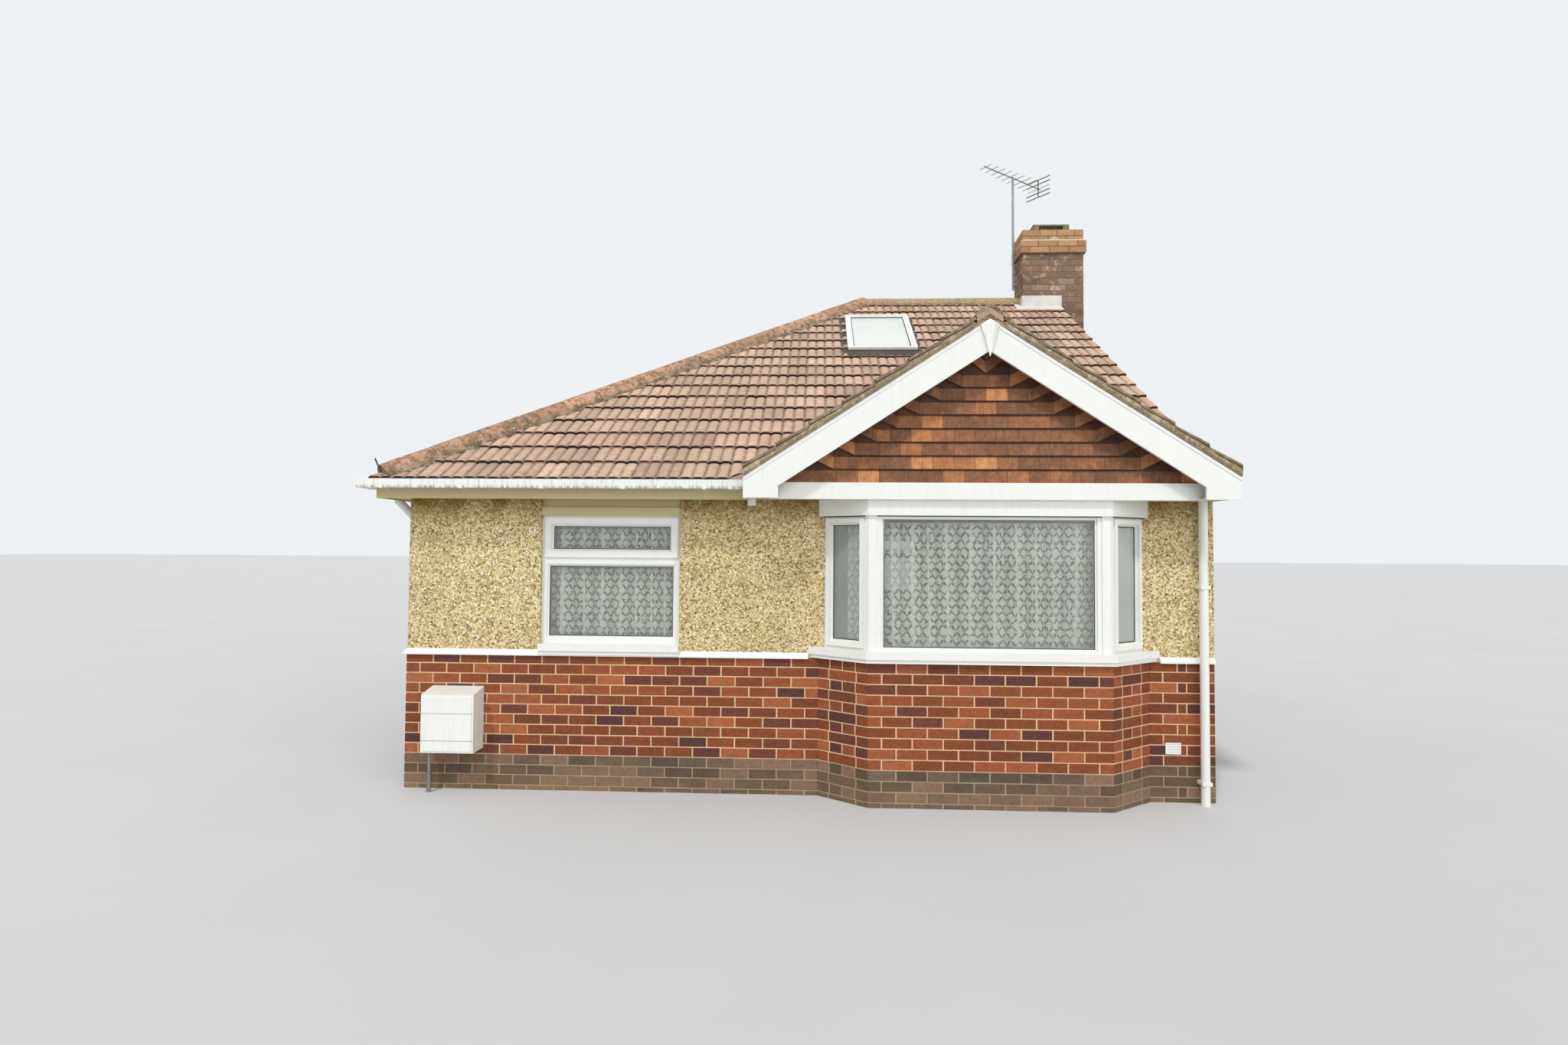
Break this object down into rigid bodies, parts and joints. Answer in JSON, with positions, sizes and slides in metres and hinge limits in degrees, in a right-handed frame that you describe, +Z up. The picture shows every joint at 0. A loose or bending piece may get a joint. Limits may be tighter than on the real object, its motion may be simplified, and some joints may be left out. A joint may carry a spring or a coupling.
{
  "type": "bungalow",
  "caption": "Left-hand house of a semi-detached pair of bungalows, with a hipped tiled roof, a tile-hung gable over a splayed bay, a brick dado under pebbledash and a party-line chimney.",
  "frame": {"origin": "middle of the plan of the house walls, on the underside of the ground floor at ground level", "axes": "+X along the front from the hipped end to the party wall, +Y from the front into the house, +Z up"},
  "size_m": [7.187, 9.266, 7.1327],
  "materials": {
    "concrete": "rough",
    "dark_brick": "rough",
    "red_brick": "rough",
    "pebbledash": "rough",
    "blockwork": "rough",
    "painted_render": "matt",
    "plasterboard": "matt",
    "stack_brick": "rough",
    "head_brick": "rough",
    "terminal_clay": "matt",
    "lead": "matt",
    "concrete_tile": "rough",
    "ridge_tile": "rough",
    "clay_tile": "matt",
    "painted_wood": "satin paint",
    "panel_wood": "rough",
    "white_plastic": "satin",
    "window_glass": "clear",
    "rooflight_metal": "satin",
    "aerial_metal": "satin",
    "meter_plastic": "matt",
    "lace": "matt"
  },
  "bodies": {
    "root": {"ground_floor": "concrete", "plinth_courses_dark": "dark_brick", "front_base": "red_brick", "left_base": "red_brick", "back_base": "red_brick", "bay_base": "red_brick", "front_wall": "pebbledash", "left_wall": "pebbledash", "back_wall": "pebbledash", "party_wall": "blockwork", "bell_cast_drip": "painted_render", "ceiling": "plasterboard", "bay_lintel": "blockwork", "chimney_breast": "blockwork", "chimney_stack": "stack_brick", "chimney_head": "head_brick", "chimney_terminal": "terminal_clay", "chimney_flashing": "lead", "roof_front": "concrete_tile", "roof_left": "concrete_tile", "roof_back": "concrete_tile", "gable_roof": "concrete_tile", "ridge_tiles": "ridge_tile", "hip_tiles": "ridge_tile", "gable_ridge_tiles": "ridge_tile", "hip_irons": "rooflight_metal", "fascias": "painted_wood", "soffits": "painted_wood", "gutters": "white_plastic", "gutter_brackets": "white_plastic", "downpipes": "white_plastic", "bargeboards": "painted_wood", "king_piece": "painted_wood", "tie_board": "painted_wood", "gable_panel": "panel_wood", "gable_tiles": "clay_tile", "gable_soffit": "painted_wood", "bay_frames": "white_plastic", "bay_glass": "window_glass", "bay_posts": "white_plastic", "bay_sill": "white_plastic", "bay_head_boards": "painted_wood", "window_frames": "white_plastic", "window_glass": "window_glass", "window_sills": "white_plastic", "window_head_boards": "painted_wood", "side_door": "white_plastic", "door_glass": "window_glass", "door_handle": "rooflight_metal", "rooflight_frame": "rooflight_metal", "rooflight_pane": "window_glass", "rooflight_flashing": "lead", "tv_aerial": "aerial_metal", "meter_box": "meter_plastic", "meter_pipe": "rooflight_metal", "wall_vent": "white_plastic", "bay_curtains": "lace", "window_curtains": "lace"}
  },
  "joints": []
}
